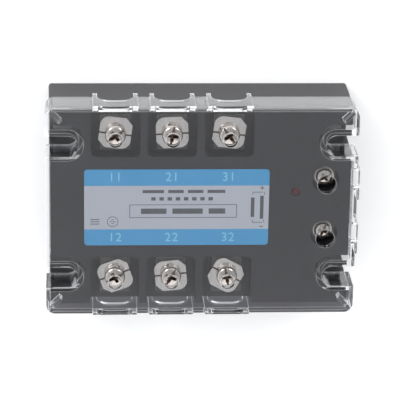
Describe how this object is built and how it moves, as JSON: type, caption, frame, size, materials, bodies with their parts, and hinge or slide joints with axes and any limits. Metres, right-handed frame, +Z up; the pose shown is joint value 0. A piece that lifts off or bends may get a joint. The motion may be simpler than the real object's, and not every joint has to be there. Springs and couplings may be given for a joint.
{
  "type": "solid state relay",
  "caption": "Three-phase solid state relay with a black housing, clear lift-off cover, screw terminals with clamp plates, a status lamp and a flat base plate for a heat sink.",
  "frame": {"origin": "centre of the four mounting slots on the base face", "axes": "+X along the long side towards the control input, +Y towards the line terminals, +Z up out of the base face towards the screws"},
  "size_m": [0.105, 0.074, 0.033],
  "materials": {
    "black_moulding": "black moulded plastic with a fine texture",
    "clear_cover": "clear polycarbonate, polished",
    "aluminium_plate": "milled aluminium",
    "zinc_steel": "zinc-plated steel",
    "printed_label": "printed film label, blue bands on silver grey",
    "red_lens": "dark red lens, unlit",
    "board": "green circuit board",
    "potting": "dark potting compound",
    "ceramic": "white ceramic",
    "silicon": "bare silicon chip",
    "dark_tinned_copper": "tin-plated copper, dulled dark",
    "white_chip": "white chip case",
    "resistor_body": "tan lacquer",
    "capacitor_case": "yellow film capacitor case",
    "black_epoxy": "black epoxy",
    "nickel_screw": "nickel-plated steel",
    "nickel_plate": "nickel-plated steel, brushed"
  },
  "bodies": {
    "base": {"base_plate": "aluminium_plate", "base_screws": "zinc_steel", "housing": "black_moulding", "label": "printed_label", "led": "red_lens", "circuit_board": "board", "potting_compound": "potting", "substrate_a": "ceramic", "substrate_b": "ceramic", "substrate_c": "ceramic", "thyristors_a": "silicon", "thyristors_b": "silicon", "thyristors_c": "silicon", "line_busbar_a": "dark_tinned_copper", "line_busbar_b": "dark_tinned_copper", "line_busbar_c": "dark_tinned_copper", "load_busbar_a": "dark_tinned_copper", "load_busbar_b": "dark_tinned_copper", "load_busbar_c": "dark_tinned_copper", "terminal_nuts": "zinc_steel", "input_nuts": "zinc_steel", "input_strip_plus": "dark_tinned_copper", "input_strip_minus": "dark_tinned_copper", "optocouplers": "white_chip", "resistors": "resistor_body", "snubber_capacitors": "capacitor_case", "input_diode": "black_epoxy", "gate_pins": "dark_tinned_copper"},
    "line_washer_a": {"line_washer_a": "nickel_plate"},
    "line_screw_a": {"line_screw_a": "nickel_screw"},
    "line_plate_a": {"line_plate_a": "nickel_plate"},
    "line_washer_b": {"line_washer_b": "nickel_plate"},
    "line_screw_b": {"line_screw_b": "nickel_screw"},
    "line_plate_b": {"line_plate_b": "nickel_plate"},
    "line_washer_c": {"line_washer_c": "nickel_plate"},
    "line_screw_c": {"line_screw_c": "nickel_screw"},
    "line_plate_c": {"line_plate_c": "nickel_plate"},
    "load_washer_a": {"load_washer_a": "nickel_plate"},
    "load_screw_a": {"load_screw_a": "nickel_screw"},
    "load_plate_a": {"load_plate_a": "nickel_plate"},
    "load_washer_b": {"load_washer_b": "nickel_plate"},
    "load_screw_b": {"load_screw_b": "nickel_screw"},
    "load_plate_b": {"load_plate_b": "nickel_plate"},
    "load_washer_c": {"load_washer_c": "nickel_plate"},
    "load_screw_c": {"load_screw_c": "nickel_screw"},
    "load_plate_c": {"load_plate_c": "nickel_plate"},
    "input_washer_plus": {"input_washer_plus": "nickel_plate"},
    "input_screw_plus": {"input_screw_plus": "nickel_screw"},
    "input_washer_minus": {"input_washer_minus": "nickel_plate"},
    "input_screw_minus": {"input_screw_minus": "nickel_screw"},
    "cover": {"cover": "clear_cover"}
  },
  "joints": [
    {"name": "line_a_lift", "type": "slide", "parent": "base", "child": "line_washer_a", "axis": [0, 0, 1], "range_m": [0, 0.0028]},
    {"name": "line_a_turn", "type": "hinge", "parent": "line_washer_a", "child": "line_screw_a", "pos_m": [-0.0288, 0.0252, 0.0254], "axis": [0, 0, 1], "range_deg": [0, 1441]},
    {"name": "line_a_swivel", "type": "hinge", "parent": "line_washer_a", "child": "line_plate_a", "pos_m": [-0.0288, 0.0252, 0.0232], "axis": [0, 0, 1], "continuous": true},
    {"name": "line_b_lift", "type": "slide", "parent": "base", "child": "line_washer_b", "axis": [0, 0, 1], "range_m": [0, 0.0028]},
    {"name": "line_b_turn", "type": "hinge", "parent": "line_washer_b", "child": "line_screw_b", "pos_m": [-0.00975, 0.0252, 0.0254], "axis": [0, 0, 1], "range_deg": [0, 1441]},
    {"name": "line_b_swivel", "type": "hinge", "parent": "line_washer_b", "child": "line_plate_b", "pos_m": [-0.00975, 0.0252, 0.0232], "axis": [0, 0, 1], "continuous": true},
    {"name": "line_c_lift", "type": "slide", "parent": "base", "child": "line_washer_c", "axis": [0, 0, 1], "range_m": [0, 0.0028]},
    {"name": "line_c_turn", "type": "hinge", "parent": "line_washer_c", "child": "line_screw_c", "pos_m": [0.0093, 0.0252, 0.0254], "axis": [0, 0, 1], "range_deg": [0, 1441]},
    {"name": "line_c_swivel", "type": "hinge", "parent": "line_washer_c", "child": "line_plate_c", "pos_m": [0.0093, 0.0252, 0.0232], "axis": [0, 0, 1], "continuous": true},
    {"name": "load_a_lift", "type": "slide", "parent": "base", "child": "load_washer_a", "axis": [0, 0, 1], "range_m": [0, 0.0028]},
    {"name": "load_a_turn", "type": "hinge", "parent": "load_washer_a", "child": "load_screw_a", "pos_m": [-0.0288, -0.0252, 0.0254], "axis": [0, 0, 1], "range_deg": [0, 1441]},
    {"name": "load_a_swivel", "type": "hinge", "parent": "load_washer_a", "child": "load_plate_a", "pos_m": [-0.0288, -0.0252, 0.0232], "axis": [0, 0, 1], "continuous": true},
    {"name": "load_b_lift", "type": "slide", "parent": "base", "child": "load_washer_b", "axis": [0, 0, 1], "range_m": [0, 0.0028]},
    {"name": "load_b_turn", "type": "hinge", "parent": "load_washer_b", "child": "load_screw_b", "pos_m": [-0.00975, -0.0252, 0.0254], "axis": [0, 0, 1], "range_deg": [0, 1441]},
    {"name": "load_b_swivel", "type": "hinge", "parent": "load_washer_b", "child": "load_plate_b", "pos_m": [-0.00975, -0.0252, 0.0232], "axis": [0, 0, 1], "continuous": true},
    {"name": "load_c_lift", "type": "slide", "parent": "base", "child": "load_washer_c", "axis": [0, 0, 1], "range_m": [0, 0.0028]},
    {"name": "load_c_turn", "type": "hinge", "parent": "load_washer_c", "child": "load_screw_c", "pos_m": [0.0093, -0.0252, 0.0254], "axis": [0, 0, 1], "range_deg": [0, 1441]},
    {"name": "load_c_swivel", "type": "hinge", "parent": "load_washer_c", "child": "load_plate_c", "pos_m": [0.0093, -0.0252, 0.0232], "axis": [0, 0, 1], "continuous": true},
    {"name": "input_plus_lift", "type": "slide", "parent": "base", "child": "input_washer_plus", "axis": [0, 0, 1], "range_m": [0, 0.002]},
    {"name": "input_plus_turn", "type": "hinge", "parent": "input_washer_plus", "child": "input_screw_plus", "pos_m": [0.0419, 0.00965, 0.0254], "axis": [0, 0, 1], "range_deg": [0, 1441]},
    {"name": "input_minus_lift", "type": "slide", "parent": "base", "child": "input_washer_minus", "axis": [0, 0, 1], "range_m": [0, 0.002]},
    {"name": "input_minus_turn", "type": "hinge", "parent": "input_washer_minus", "child": "input_screw_minus", "pos_m": [0.0419, -0.00965, 0.0254], "axis": [0, 0, 1], "range_deg": [0, 1441]},
    {"name": "cover_lift", "type": "slide", "parent": "base", "child": "cover", "axis": [0, 0, 1], "range_m": [0, 0.03]}
  ],
  "couplings": [
    {"joint": "line_a_turn", "follows": "line_a_lift", "rad_per_m": 8976},
    {"joint": "line_b_turn", "follows": "line_b_lift", "rad_per_m": 8976},
    {"joint": "line_c_turn", "follows": "line_c_lift", "rad_per_m": 8976},
    {"joint": "load_a_turn", "follows": "load_a_lift", "rad_per_m": 8976},
    {"joint": "load_b_turn", "follows": "load_b_lift", "rad_per_m": 8976},
    {"joint": "load_c_turn", "follows": "load_c_lift", "rad_per_m": 8976},
    {"joint": "input_plus_turn", "follows": "input_plus_lift", "rad_per_m": 12566},
    {"joint": "input_minus_turn", "follows": "input_minus_lift", "rad_per_m": 12566}
  ]
}
